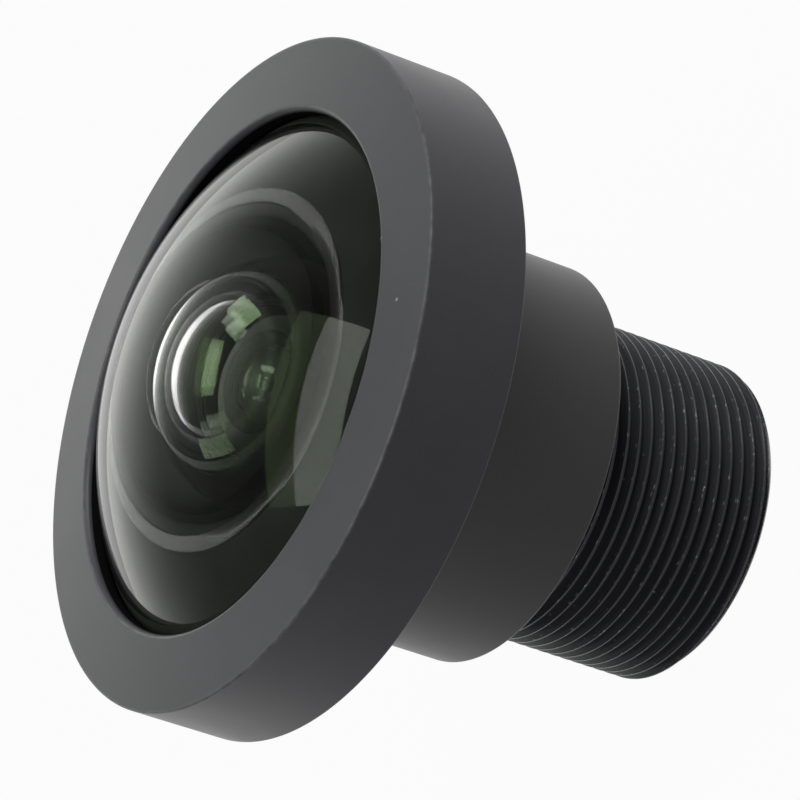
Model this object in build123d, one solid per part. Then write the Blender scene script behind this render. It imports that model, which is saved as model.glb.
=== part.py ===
from build123d import *
import math
import os

# Fisheye lens with an M12 x 0.5 screw mount, millimetres.
# The optical axis is +Z towards the front, and the rear end face of the barrel is at Z = 0.

# Running gap between a ring or a glass and the bore that guides it
bore_gap = 0.03
# Gap between faces of pieces that move apart
slip_gap = 0.02
# Distance from the clear part of a glass to the ring that lies round it
clear_margin = 0.05
# How far a cutter reaches past the face that it cuts
overrun = 1.0

# Mounting thread
thread_radius = 6.0
thread_pitch = 0.5
thread_length = 7.3
thread_angle = 60.0
crest_width_share = 0.125
thread_depth_share = 0.6134
ridge_sink_share = 0.2
ridge_over_share = 0.07
runout_turns = 0.5
thread_end_break = 0.05
relief_width = 0.6
relief_depth = 0.04

# Barrel outside
shoulder_radius = 7.45
shoulder_length = 7.5
shoulder_chamfer = 0.1
head_height = 2.2

# Front ring
ring_wall = 1.35
ring_edge = 0.08
ring_crown = 0.28
ring_brim_rise = 0.39
ring_mouth_gap = 0.372
ring_mouth_bevel = 0.135
ring_mouth_bevel_depth = 0.16
ring_pocket_gap = 0.05
bevel_gap = 0.05

# Front meniscus, element 1
glass_1_front_radius = 14.4
glass_1_clear_radius = 9.22
glass_1_rim_bevel = 0.68
glass_1_rim_edge = 0.81
glass_1_centre = 1.2
glass_1_bowl_radius = 5.64
glass_1_bevel_reach = 0.38
bevel_sink_share = 0.2
shield_1_thickness = 0.1

# Seal and slip washer of the front ring
o_ring_wire_radius = 0.27
gasket_width = 1.0
gasket_thickness = 0.2

# Steep meniscus, element 2, which stands in the bowl of element 1
bowl_air_gap = 0.28
glass_2_inset = 1.24
glass_2_opening = 68.7
glass_2_land = 0.45
glass_2_centre = 0.9
glass_2_edge = 1.16
nose_wall = 0.27
retainer_2_thickness = 0.16
retainer_2_fall = 0.11
shield_2_thickness = 0.06
spacer_1_length = 0.215

# Negative meniscus, element 3
glass_3_step = 0.65
glass_3_front_radius = 40.0
glass_3_land = 0.7
glass_3_centre = 0.75
glass_3_bowl_land = 1.6
glass_3_bowl_opening = 55.2
spacer_2_length = 0.28

# Thick positive lens, element 4
glass_4_step = 0.6
glass_4_front_radius = 4.2
glass_4_land = 0.6
glass_4_edge = 0.89
glass_4_back_radius = 7.0
glass_4_back_land = 0.9

# Aperture stop and the rib that carries it
stop_air_gap = 0.1
stop_thickness = 0.1
stop_hole_radius = 0.5
rib_thickness = 0.3
rib_hole_radius = 1.6

# Cemented doublet, elements 5 and 6
crown_air_gap = 0.4
crown_front_radius = 6.0
crown_land = 0.4
crown_edge = 0.25
doublet_cement_radius = 4.2
cement_gap = 0.01
flint_centre = 0.7
flint_back_radius = 9.0
flint_back_land = 0.5

# Rear positive lens, element 7
rear_step = 0.4
rear_air_gap = 1.16
spacer_5_neck = 0.5
shield_3_thickness = 0.06
glass_7_front_radius = 7.0
glass_7_land = 0.57
glass_7_edge = 1.65
glass_7_back_radius = 12.0

# Rear retainer, its washer and the filter
rear_wall = 1.09
retainer_recess = 0.25
retainer_length = 1.75
retainer_web = 1.17
retainer_chamfer = 0.12
rear_thread_runout = 0.2
washer_thickness = 0.2
filter_land = 0.67
filter_thickness = 0.3
filter_pocket_depth = 0.5
slot_width = 0.8
slot_depth = 0.45

# Heights of the barrel's faces, from the rear end to the head
shoulder_foot = thread_length + relief_width
head_foot = shoulder_foot + shoulder_length
head_top = head_foot + head_height
thread_root_radius = thread_radius - thread_depth_share * thread_pitch


def dome_rise(radius, reach):
    """Height of a spherical cap over its edge."""
    return radius - math.sqrt(radius ** 2 - reach ** 2)


def cap_height(apex, radius, reach):
    """Height of a spherical face at a distance from the axis; a radius above zero bulges to the front."""
    rise = math.copysign(math.sqrt(radius ** 2 - reach ** 2), radius)
    return apex - radius + rise


def cap_arc(apex, radius, reach):
    """Meridian of a spherical face from the axis out to its reach."""
    middle = reach / 2
    return ThreePointArc(
        (0, 0, apex),
        (middle, 0, cap_height(apex, radius, middle)),
        (reach, 0, cap_height(apex, radius, reach)),
    )


def corners(points):
    """Straight runs through points given as distance from the axis and height."""
    return Polyline(*[(reach, 0, height) for reach, height in points])


def turned(edges):
    """Solid of revolution about the optical axis from the edges of half its section."""
    return revolve(make_face(edges), Axis.Z)


def turned_outline(points):
    """Solid of revolution from a closed outline of straight runs."""
    return turned([corners(points + points[:1])])


def ring(inner, outer, low, high):
    """Plain ring between two radii and two heights."""
    return turned_outline([(inner, low), (outer, low), (outer, high), (inner, high)])


def bore(radius, low, high):
    """Cutter for a round hole on the axis."""
    return turned_outline([(0, low), (radius, low), (radius, high), (0, high)])


# Front meniscus, from its rear flat upwards
glass_1_rim_radius = glass_1_clear_radius + glass_1_rim_bevel
glass_1_back = head_top + shield_1_thickness
glass_1_rim_height = glass_1_back + glass_1_rim_edge
glass_1_edge_height = glass_1_rim_height + glass_1_rim_bevel
glass_1_apex = glass_1_edge_height + dome_rise(glass_1_front_radius, glass_1_clear_radius)
bowl_1_apex = glass_1_apex - glass_1_centre
bowl_1_sag = bowl_1_apex - glass_1_back
bowl_1_rim_radius = math.sqrt(glass_1_bowl_radius ** 2 - (glass_1_bowl_radius - bowl_1_sag) ** 2)

# Element 2 and the nose that holds it
glass_2_front_radius = glass_1_bowl_radius - glass_2_inset
glass_2_clear_radius = glass_2_front_radius * math.sin(math.radians(glass_2_opening))
glass_2_rim_radius = glass_2_clear_radius + glass_2_land
glass_2_apex = bowl_1_apex - bowl_air_gap
glass_2_shelf = glass_2_apex - dome_rise(glass_2_front_radius, glass_2_clear_radius)
glass_2_back = glass_2_shelf - glass_2_edge
bowl_2_apex = glass_2_apex - glass_2_centre
bowl_2_sag = bowl_2_apex - glass_2_back
bowl_2_radius = glass_2_front_radius - glass_2_centre
glass_2_bowl_rim_radius = math.sqrt(2 * bowl_2_radius * bowl_2_sag - bowl_2_sag ** 2)
front_bore_radius = glass_2_rim_radius + bore_gap
nose_radius = front_bore_radius + nose_wall
shield_2_foot = glass_2_back - shield_2_thickness

# Element 3
glass_3_rim_radius = glass_2_rim_radius - glass_3_step
glass_3_clear_radius = glass_3_rim_radius - glass_3_land
glass_3_bowl_rim_radius = glass_3_rim_radius - glass_3_bowl_land
glass_3_bowl_radius = glass_3_bowl_rim_radius / math.sin(math.radians(glass_3_bowl_opening))
glass_3_shelf = shield_2_foot - spacer_1_length
glass_3_apex = glass_3_shelf + dome_rise(glass_3_front_radius, glass_3_clear_radius)
bowl_3_apex = glass_3_apex - glass_3_centre
glass_3_back = bowl_3_apex - dome_rise(glass_3_bowl_radius, glass_3_bowl_rim_radius)
middle_bore_radius = glass_3_rim_radius + bore_gap

# Element 4, the stop and the rib
glass_4_rim_radius = glass_3_rim_radius - glass_4_step
glass_4_clear_radius = glass_4_rim_radius - glass_4_land
glass_4_back_clear_radius = glass_4_rim_radius - glass_4_back_land
glass_4_shelf = glass_3_back - spacer_2_length
glass_4_apex = glass_4_shelf + dome_rise(glass_4_front_radius, glass_4_clear_radius)
glass_4_back = glass_4_shelf - glass_4_edge
glass_4_foot = glass_4_back - dome_rise(glass_4_back_radius, glass_4_back_clear_radius)
inner_bore_radius = glass_4_rim_radius + bore_gap
stop_top = glass_4_foot - stop_air_gap
rib_top = stop_top - stop_thickness
rib_foot = rib_top - rib_thickness

# Doublet
crown_clear_radius = glass_4_rim_radius - crown_land
flint_back_clear_radius = glass_4_rim_radius - flint_back_land
crown_apex = rib_foot - crown_air_gap
crown_shelf = crown_apex - dome_rise(crown_front_radius, crown_clear_radius)
cement_apex = crown_shelf - crown_edge - dome_rise(doublet_cement_radius, glass_4_rim_radius)
flint_foot = cement_apex - flint_centre
flint_back = flint_foot - dome_rise(flint_back_radius, flint_back_clear_radius)
spacer_5_ledge = flint_back - spacer_5_neck

# Rear bore, element 7 and what closes the rear
rear_thread_bore_radius = thread_root_radius - rear_wall
retainer_radius = rear_thread_bore_radius - bore_gap
rear_glass_radius = retainer_radius - rear_step
rear_bore_radius = rear_glass_radius + bore_gap
glass_7_clear_radius = rear_glass_radius - glass_7_land
glass_7_apex = flint_foot - rear_air_gap
glass_7_shelf = glass_7_apex - dome_rise(glass_7_front_radius, glass_7_clear_radius)
glass_7_back = glass_7_shelf - glass_7_edge
glass_7_foot = glass_7_back - dome_rise(glass_7_back_radius, glass_7_clear_radius)
spacer_5_foot = glass_7_shelf + shield_3_thickness
retainer_top = retainer_recess + retainer_length
retainer_hole_radius = retainer_radius - retainer_web
filter_radius = retainer_radius - filter_land
washer_foot = retainer_top + slip_gap
washer_top = washer_foot + washer_thickness

# Seal, film and slip washer on the barrel head
o_ring_centre_radius = glass_1_rim_radius - o_ring_wire_radius
o_ring_foot = glass_1_back - slip_gap / 2 - 2 * o_ring_wire_radius
groove_inner_radius = o_ring_centre_radius - o_ring_wire_radius - bore_gap
groove_outer_radius = o_ring_centre_radius + o_ring_wire_radius + bore_gap
ring_pocket_radius = glass_1_rim_radius + ring_pocket_gap
gasket_inner_radius = ring_pocket_radius + clear_margin
head_radius = gasket_inner_radius + gasket_width
gasket_foot = head_top + slip_gap
gasket_top = gasket_foot + gasket_thickness

# Faces of the front ring
ring_bore_radius = head_radius + ring_pocket_gap
ring_radius = ring_bore_radius + ring_wall
ring_mouth_radius = glass_1_clear_radius + ring_mouth_gap
ring_brim_radius = ring_mouth_radius + ring_mouth_bevel
ring_brim_height = glass_1_edge_height + ring_brim_rise
ring_face_height = ring_brim_height - ring_crown


def threaded_shank():
    """Rear shank with the mounting thread cut true as a helix, chamfered at the rear, and its relief."""
    depth = thread_radius - thread_root_radius
    sink = depth * ridge_sink_share
    over = depth * ridge_over_share
    spread = math.tan(math.radians(thread_angle / 2))
    crest_radius = thread_radius + over
    half_crest = thread_pitch * crest_width_share / 2 - over * spread
    foot_radius = thread_root_radius - sink
    half_foot = half_crest + (depth + over + sink) * spread
    start = -thread_pitch
    turns = thread_length / thread_pitch + 1 + runout_turns
    outline = Polyline(
        (foot_radius, 0, start - half_foot),
        (crest_radius, 0, start - half_crest),
        (crest_radius, 0, start + half_crest),
        (foot_radius, 0, start + half_foot),
        (foot_radius, 0, start - half_foot),
    )
    helix = Pos(0, 0, start) * Helix(thread_pitch, turns * thread_pitch, thread_root_radius)
    ridge = sweep(make_face(outline), helix, is_frenet=True)
    core = bore(thread_root_radius, start - thread_pitch, shoulder_foot + thread_pitch)
    end_radius = thread_root_radius - thread_end_break
    relief_radius = thread_root_radius - relief_depth
    tip_radius = thread_radius + overrun
    envelope = turned_outline([
        (0, 0),
        (end_radius, 0),
        (tip_radius, tip_radius - end_radius),
        (tip_radius, thread_length),
        (relief_radius, thread_length),
        (relief_radius, shoulder_foot + thread_pitch),
        (0, shoulder_foot + thread_pitch),
    ])
    crests = bore(thread_radius, start - thread_pitch, shoulder_foot + thread_pitch)
    return ((core + ridge) & crests) & envelope


def barrel_head():
    """Shoulder, head and the nose that holds element 2, before the bores."""
    return turned_outline([
        (0, shoulder_foot),
        (shoulder_radius - shoulder_chamfer, shoulder_foot),
        (shoulder_radius, shoulder_foot + shoulder_chamfer),
        (shoulder_radius, head_foot),
        (head_radius, head_foot),
        (head_radius, head_top),
        (nose_radius, head_top),
        (nose_radius, glass_2_shelf),
        (0, glass_2_shelf),
    ])


def barrel_bores():
    """Stepped bores of the barrel and the groove of the front seal."""
    return [
        bore(front_bore_radius, glass_3_shelf, glass_2_shelf + overrun),
        bore(middle_bore_radius, glass_4_shelf, glass_3_shelf + overrun),
        bore(inner_bore_radius, rib_top, glass_4_shelf + overrun),
        bore(rib_hole_radius, rib_foot - overrun, rib_top + overrun),
        bore(inner_bore_radius, spacer_5_ledge - overrun, rib_foot),
        bore(rear_bore_radius, -overrun, spacer_5_ledge),
        bore(rear_thread_bore_radius, -overrun, retainer_top + rear_thread_runout),
        ring(groove_inner_radius, groove_outer_radius, o_ring_foot, head_top + overrun),
    ]


def barrel():
    """Barrel: head, shoulder, relief groove and mounting thread in one turned piece."""
    return barrel_head() + threaded_shank() - barrel_bores()


def front_ring():
    """Wide ring that screws over the barrel head and traps element 1 with its lip."""
    bevel_sum = glass_1_clear_radius + glass_1_edge_height + bevel_gap * math.sqrt(2)
    step_height = gasket_top + slip_gap
    return turned_outline([
        (ring_bore_radius, head_foot),
        (ring_radius - ring_edge, head_foot),
        (ring_radius, head_foot + ring_edge),
        (ring_radius, ring_face_height - ring_edge),
        (ring_radius - ring_edge, ring_face_height),
        (ring_brim_radius, ring_brim_height),
        (ring_mouth_radius, ring_brim_height - ring_mouth_bevel_depth),
        (ring_mouth_radius, bevel_sum - ring_mouth_radius),
        (ring_pocket_radius, bevel_sum - ring_pocket_radius),
        (ring_pocket_radius, step_height),
        (ring_bore_radius, step_height),
    ])


def front_gasket():
    """Flat washer between the step of the front ring and the barrel head."""
    return ring(gasket_inner_radius, head_radius, gasket_foot, gasket_top)


def front_o_ring():
    """Round seal in the groove of the barrel head, under the rim of element 1."""
    height = o_ring_foot + o_ring_wire_radius
    section = Plane.XZ * Pos(o_ring_centre_radius, height) * Circle(o_ring_wire_radius)
    return revolve(section, Axis.Z)


def element_1():
    """Front meniscus: dome, bevelled rim, rear flat and the ground bevel round its bowl."""
    bowl_reach = bowl_1_rim_radius - bevel_sink_share * glass_1_bevel_reach
    bowl_edge = cap_height(bowl_1_apex, glass_1_bowl_radius, bowl_reach)
    return turned([
        cap_arc(glass_1_apex, glass_1_front_radius, glass_1_clear_radius),
        corners([
            (glass_1_clear_radius, glass_1_edge_height),
            (glass_1_rim_radius, glass_1_rim_height),
            (glass_1_rim_radius, glass_1_back),
            (bowl_1_rim_radius + glass_1_bevel_reach, glass_1_back),
            (bowl_reach, bowl_edge),
        ]),
        cap_arc(bowl_1_apex, glass_1_bowl_radius, bowl_reach),
        corners([(0, bowl_1_apex), (0, glass_1_apex)]),
    ])


def element_2():
    """Steep meniscus with a flat shelf round its dome."""
    return turned([
        cap_arc(glass_2_apex, glass_2_front_radius, glass_2_clear_radius),
        corners([
            (glass_2_clear_radius, glass_2_shelf),
            (glass_2_rim_radius, glass_2_shelf),
            (glass_2_rim_radius, glass_2_back),
            (glass_2_bowl_rim_radius, glass_2_back),
        ]),
        cap_arc(bowl_2_apex, bowl_2_radius, glass_2_bowl_rim_radius),
        corners([(0, bowl_2_apex), (0, glass_2_apex)]),
    ])


def element_2_retainer():
    """Thin ring with a falling top face that holds element 2 on the nose of the barrel."""
    inner = glass_2_clear_radius + bore_gap
    return turned_outline([
        (inner, glass_2_shelf),
        (nose_radius, glass_2_shelf),
        (nose_radius, glass_2_shelf + retainer_2_thickness - retainer_2_fall),
        (inner, glass_2_shelf + retainer_2_thickness),
    ])


def element_3():
    """Negative meniscus with its bowl towards the rear."""
    return turned([
        cap_arc(glass_3_apex, glass_3_front_radius, glass_3_clear_radius),
        corners([
            (glass_3_clear_radius, glass_3_shelf),
            (glass_3_rim_radius, glass_3_shelf),
            (glass_3_rim_radius, glass_3_back),
            (glass_3_bowl_rim_radius, glass_3_back),
        ]),
        cap_arc(bowl_3_apex, glass_3_bowl_radius, glass_3_bowl_rim_radius),
        corners([(0, bowl_3_apex), (0, glass_3_apex)]),
    ])


def element_4():
    """Thick positive lens in front of the stop."""
    return turned([
        cap_arc(glass_4_apex, glass_4_front_radius, glass_4_clear_radius),
        corners([
            (glass_4_clear_radius, glass_4_shelf),
            (glass_4_rim_radius, glass_4_shelf),
            (glass_4_rim_radius, glass_4_back),
            (glass_4_back_clear_radius, glass_4_back),
        ]),
        cap_arc(glass_4_foot, -glass_4_back_radius, glass_4_back_clear_radius),
        corners([(0, glass_4_foot), (0, glass_4_apex)]),
    ])


def element_5_crown():
    """Front half of the cemented doublet."""
    apex = cement_apex + cement_gap
    edge = cap_height(apex, -doublet_cement_radius, glass_4_rim_radius)
    return turned([
        cap_arc(crown_apex, crown_front_radius, crown_clear_radius),
        corners([
            (crown_clear_radius, crown_shelf),
            (glass_4_rim_radius, crown_shelf),
            (glass_4_rim_radius, edge),
        ]),
        cap_arc(apex, -doublet_cement_radius, glass_4_rim_radius),
        corners([(0, apex), (0, crown_apex)]),
    ])


def element_6_flint():
    """Rear half of the cemented doublet."""
    edge = cap_height(cement_apex, -doublet_cement_radius, glass_4_rim_radius)
    return turned([
        cap_arc(cement_apex, -doublet_cement_radius, glass_4_rim_radius),
        corners([
            (glass_4_rim_radius, edge),
            (glass_4_rim_radius, flint_back),
            (flint_back_clear_radius, flint_back),
        ]),
        cap_arc(flint_foot, flint_back_radius, flint_back_clear_radius),
        corners([(0, flint_foot), (0, cement_apex)]),
    ])


def element_7():
    """Rear positive lens."""
    return turned([
        cap_arc(glass_7_apex, glass_7_front_radius, glass_7_clear_radius),
        corners([
            (glass_7_clear_radius, glass_7_shelf),
            (rear_glass_radius, glass_7_shelf),
            (rear_glass_radius, glass_7_back),
            (glass_7_clear_radius, glass_7_back),
        ]),
        cap_arc(glass_7_foot, -glass_7_back_radius, glass_7_clear_radius),
        corners([(0, glass_7_foot), (0, glass_7_apex)]),
    ])


def light_shield_1():
    """Black film between the rear flat of element 1 and the barrel head."""
    inner = bowl_1_rim_radius + glass_1_bevel_reach + clear_margin
    return ring(inner, groove_inner_radius - clear_margin, head_top, glass_1_back)


def spacer_5():
    """Stepped ring between the doublet and element 7."""
    neck_radius = flint_back_clear_radius + clear_margin
    mouth_radius = glass_7_clear_radius + clear_margin
    return turned_outline([
        (mouth_radius, spacer_5_foot),
        (rear_glass_radius, spacer_5_foot),
        (rear_glass_radius, spacer_5_ledge),
        (glass_4_rim_radius, spacer_5_ledge),
        (glass_4_rim_radius, flint_back),
        (neck_radius, flint_back),
        (neck_radius, glass_7_apex),
        (mouth_radius, (glass_7_apex + spacer_5_foot) / 2),
    ])


def rear_retainer():
    """Threaded ring that closes the rear, with a pocket for the filter and two spanner slots."""
    pocket_radius = filter_radius + bore_gap
    pocket_top = retainer_recess + filter_pocket_depth
    body = turned_outline([
        (retainer_hole_radius, pocket_top),
        (pocket_radius, pocket_top),
        (pocket_radius, retainer_recess),
        (retainer_radius - retainer_chamfer, retainer_recess),
        (retainer_radius, retainer_recess + retainer_chamfer),
        (retainer_radius, retainer_top),
        (retainer_hole_radius, retainer_top),
    ])
    slot = Pos(0, 0, retainer_recess) * Box(
        2 * (retainer_radius + overrun), slot_width, 2 * slot_depth
    )
    return body - slot


def ir_cut_filter():
    """Thin disc that blocks infrared light, bonded in the pocket of the rear retainer."""
    top = retainer_recess + filter_pocket_depth
    return bore(filter_radius, top - filter_thickness, top)


def plain_rings():
    """Spacers, films, stop and washer: each lies between the faces of its neighbours."""
    front_hole = glass_3_clear_radius + clear_margin
    middle_hole = glass_4_clear_radius + clear_margin
    inner_hole = glass_4_back_clear_radius + clear_margin
    crown_hole = crown_clear_radius + clear_margin
    rear_hole = glass_7_clear_radius + clear_margin
    return {
        "light_shield_2": ring(front_hole, glass_2_rim_radius, shield_2_foot, glass_2_back),
        "spacer_1": ring(front_hole, glass_2_rim_radius, glass_3_shelf, shield_2_foot),
        "spacer_2": ring(middle_hole, glass_3_rim_radius, glass_4_shelf, glass_3_back),
        "spacer_3": ring(inner_hole, glass_4_rim_radius, stop_top, glass_4_back),
        "aperture_stop": ring(stop_hole_radius, glass_4_rim_radius, rib_top, stop_top),
        "spacer_4": ring(crown_hole, glass_4_rim_radius, crown_shelf, rib_foot),
        "light_shield_3": ring(rear_hole, rear_glass_radius, glass_7_shelf, spacer_5_foot),
        "spacer_6": ring(rear_hole, rear_glass_radius, washer_top, glass_7_back),
        "rear_washer": ring(retainer_hole_radius, rear_glass_radius, washer_foot, washer_top),
    }


sub_parts = {
    "barrel": barrel(),
    "front_ring": front_ring(),
    "front_gasket": front_gasket(),
    "front_o_ring": front_o_ring(),
    "element_1": element_1(),
    "light_shield_1": light_shield_1(),
    "element_2_retainer": element_2_retainer(),
    "element_2": element_2(),
    "element_3": element_3(),
    "element_4": element_4(),
    "element_5_crown": element_5_crown(),
    "element_6_flint": element_6_flint(),
    "spacer_5": spacer_5(),
    "element_7": element_7(),
    "rear_retainer": rear_retainer(),
    "ir_cut_filter": ir_cut_filter(),
}
sub_parts.update(plain_rings())

os.makedirs("parts", exist_ok=True)
for name, solid in sub_parts.items():
    export_step(solid, "parts/" + name + ".step")
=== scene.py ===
"""Small fisheye lens with a fine mounting thread, dressed for rendering.

Every glass and every metal surface that shows is a smooth surface of revolution, or a helix, worked out
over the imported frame. Lengths are metres; the optical axis is +Z and the rear end stands on the floor.
"""
import math

import bmesh
import bpy
import numpy as np
from bpy.props import FloatProperty, FloatVectorProperty, PointerProperty
from mathutils import Matrix, Vector


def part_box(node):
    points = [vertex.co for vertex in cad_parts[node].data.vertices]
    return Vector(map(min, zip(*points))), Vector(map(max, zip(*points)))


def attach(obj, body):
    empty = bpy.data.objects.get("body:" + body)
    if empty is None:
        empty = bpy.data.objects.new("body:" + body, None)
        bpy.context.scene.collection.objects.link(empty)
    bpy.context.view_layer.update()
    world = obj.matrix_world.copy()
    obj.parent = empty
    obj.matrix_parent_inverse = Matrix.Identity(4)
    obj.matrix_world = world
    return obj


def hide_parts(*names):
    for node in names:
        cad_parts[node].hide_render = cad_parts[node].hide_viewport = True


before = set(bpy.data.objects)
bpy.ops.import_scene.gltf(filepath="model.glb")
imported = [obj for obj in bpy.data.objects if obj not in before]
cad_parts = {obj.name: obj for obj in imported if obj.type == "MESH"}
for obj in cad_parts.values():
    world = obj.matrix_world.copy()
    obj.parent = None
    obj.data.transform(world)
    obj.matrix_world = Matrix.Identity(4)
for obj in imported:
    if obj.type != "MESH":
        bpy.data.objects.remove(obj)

bl_info = {
    "name": "Fisheye lens",
    "version": (1, 0, 0),
    "blender": (4, 5, 0),
    "location": "3D Viewport > Sidebar > Fisheye lens",
    "description": "Makes the glass, the metal and the studio of a fisheye lens round its CAD frame",
    "category": "Object",
}

MM = 0.001
FULL_TURN = 2 * math.pi
# Points round a turned surface
AROUND = 256
# Share of a side that a softened corner may take, and where the rows beside its curve lie
CORNER_SHARE, BESIDE = 0.42, 1.15
# Points of the curve at a softened corner, and rows that the corner gives with one row on either side
CURVE_POINTS = 5
CORNER_ROWS = CURVE_POINTS + 2
# Gap that keeps a glass's rear flat off the film behind it
CLEAR = 0.004 * MM
# Points closer than this are welded, and edges shorter than this are dissolved
WELD, SHORTEST_EDGE = 0.0008 * MM, 0.0004 * MM
# Edges with a sharper bend than this stay sharp
SHARP = math.radians(34.0)
# Edge break of the barrel's bores and of the filter
FINE_BREAK = 0.02 * MM
# Share of the thread's pitch from the middle of a crest to its edge, and from there to the root
CREST_SHARE, FLANK_SHARE = 0.0625, 0.354
WHITE = (1.0, 1.0, 1.0, 1.0)
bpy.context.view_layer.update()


# Sizes and colours that a user may change


def length(name, description, millimetres):
    """A length property, given in millimetres and held in metres."""
    return FloatProperty(
        name=name, description=description, default=millimetres * MM, precision=5, unit="LENGTH"
    )


def faces(name, description, millimetres):
    """Front radius, front reach, back radius and back reach of a glass, in one property."""
    return FloatVectorProperty(
        name=name,
        description=description + ": front radius, front reach, back radius, back reach",
        size=4,
        default=[value * MM for value in millimetres],
        precision=5,
        unit="LENGTH",
    )


def colour(name, description, default):
    """A colour property with linear values."""
    return FloatVectorProperty(
        name=name, description=description, default=default, min=0.0, max=1.0, subtype="COLOR"
    )


class RingSizes(bpy.types.PropertyGroup):
    """Sizes of the front ring"""

    bore: length("Bore", "Inner radius over the barrel head", 11.05)
    pocket: length("Pocket", "Radius of the pocket that holds the front glass", 9.95)
    step: length("Step height", "Height of the step over the slip washer", 17.84)
    mouth: length("Mouth", "Radius of the opening round the dome", 9.592)
    lip_top: length("Lip height", "Height where the lip starts to fall to the glass", 18.8887)
    lip_foot: length("Lip foot", "Height where the lip meets the pocket", 18.5307)
    brim: length("Brim radius", "Radius of the highest edge", 9.727)
    bevel: length("Mouth bevel", "Depth of the bevel inside the brim", 0.16)
    crown: length("Face fall", "How far the front face falls from the brim to the outer edge", 0.28)
    edge: length("Edge break", "Size of the broken outer edges", 0.08)


class BarrelSizes(bpy.types.PropertyGroup):
    """Sizes of the barrel and of its thread"""

    thread_radius: length("Thread radius", "Outer radius of the mounting thread", 6.0)
    thread_root: length("Thread root", "Radius at the root of the thread", 5.6933)
    thread_pitch: length("Thread pitch", "Travel for one turn", 0.5)
    thread_length: length("Thread length", "Height where the thread ends", 7.3)
    thread_start: length("Thread start", "Radius where the rear chamfer begins", 5.6433)
    relief: length("Relief", "Radius of the groove behind the shoulder", 5.6533)
    shoulder_foot: length("Shoulder foot", "Height of the shoulder's rear face", 7.9)
    shoulder: length("Shoulder", "Radius of the shoulder", 7.45)
    head_foot: length("Head foot", "Height of the head's rear face", 15.4)
    head_top: length("Head top", "Height of the face under the front glass", 17.6)
    nose: length("Nose", "Radius of the nose that holds the second glass", 4.8494)
    groove_inner: length("Groove inner", "Inner radius of the seal groove", 9.33)
    groove_outer: length("Groove outer", "Outer radius of the seal groove", 9.93)
    groove_foot: length("Groove foot", "Height of the groove's floor", 17.15)
    break_size: length("Edge break", "Size of the broken edges", 0.1)


class BoreSizes(bpy.types.PropertyGroup):
    """Radii and heights of the stepped bores"""

    front: length("Front bore", "Radius round the second glass", 4.5794)
    front_foot: length("Front foot", "Height under the second glass", 16.812)
    middle: length("Middle bore", "Radius round the third glass", 3.9294)
    middle_foot: length("Middle foot", "Height under the third glass", 14.7081)
    inner: length("Inner bore", "Radius round the fourth glass and the doublet", 3.3294)
    rib_top: length("Rib top", "Height of the rib that carries the stop", 13.194)
    rib_foot: length("Rib foot", "Height under the rib", 12.894)
    rib_hole: length("Rib hole", "Radius of the hole in the rib", 1.6)
    ledge: length("Ledge", "Height where the rear bore ends", 8.2493)
    rear: length("Rear bore", "Radius round the last glass", 4.2033)
    retainer: length("Retainer bore", "Radius of the rear thread", 4.6033)
    retainer_end: length("Retainer end", "Height where the rear thread ends", 2.2)


class GlassSizes(bpy.types.PropertyGroup):
    """Faces of the seven glasses, with a positive radius where the middle of the sphere lies behind"""

    front: faces("Front glass", "Large meniscus with the dome", (14.4, 9.22, 5.64, 5.1932))
    front_bevel: length("Front bevel", "Width and height of the bevel on the front glass's rim", 0.68)
    front_centre: length("Front centre", "Thickness of the front glass at its middle", 1.2)
    front_band: length("Ground band", "Outer radius of the ground band round the bowl", 5.6492)
    second: faces("Second glass", "Steep meniscus in the bowl", (4.4, 4.0994, 3.5, 3.4725))
    third: faces("Third glass", "Negative meniscus", (40.0, 3.1994, 2.8003, 2.2994))
    fourth: faces("Fourth glass", "Thick positive lens", (4.2, 2.6994, -7.0, 2.3994))
    crown: faces("Crown glass", "Front half of the doublet", (6.0, 2.8994, -4.2, 3.2993))
    flint: faces("Flint glass", "Rear half of the doublet", (-4.2, 3.2993, 9.0, 2.7994))
    last: faces("Last glass", "Rear positive lens", (7.0, 3.6033, -12.0, 3.6033))


class Finishes(bpy.types.PropertyGroup):
    """Colours of the finishes"""

    ring: colour("Ring", "Matte black anodised front ring", (0.053, 0.052, 0.059))
    barrel: colour("Barrel", "Matte black anodised barrel", (0.034, 0.034, 0.036))
    thread: colour("Thread", "Glossier black of the thread", (0.034, 0.035, 0.039))
    bore: colour("Bore", "Dull black inside the barrel", (0.006, 0.006, 0.006))
    ink: colour("Ink", "Black ink on the rims of the glass", (0.015, 0.0165, 0.015))
    band: colour("Band", "Ground band round the bowl", (0.80, 0.84, 0.80))
    # Bare aluminium where the thread's black has worn through, and also the colour of the painted
    # highlights along the anodised edges.
    bare_and_highlight: colour("Bare metal", "Aluminium where the black has worn through", (0.55, 0.55, 0.56))
    dust: colour("Dust", "Specks of dust", (0.45, 0.45, 0.44))
    floor: colour("Floor", "Floor as the lamps light it", (0.18, 0.18, 0.18))


# Surfaces


def cap(apex, radius, start, end, rows=72):
    """Rows of a spherical face: r = |R| sin t, z = apex - R + R cos t, for equal steps of the angle t."""
    turn = np.linspace(math.asin(start / abs(radius)), math.asin(end / abs(radius)), rows)
    return np.stack([abs(radius) * np.sin(turn), apex - radius + radius * np.cos(turn)], 1)


def rise(radius, reach):
    """Height of a spherical face over its edge: |R| - sqrt(R^2 - r^2)."""
    return abs(radius) - math.sqrt(radius * radius - reach * reach)


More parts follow.
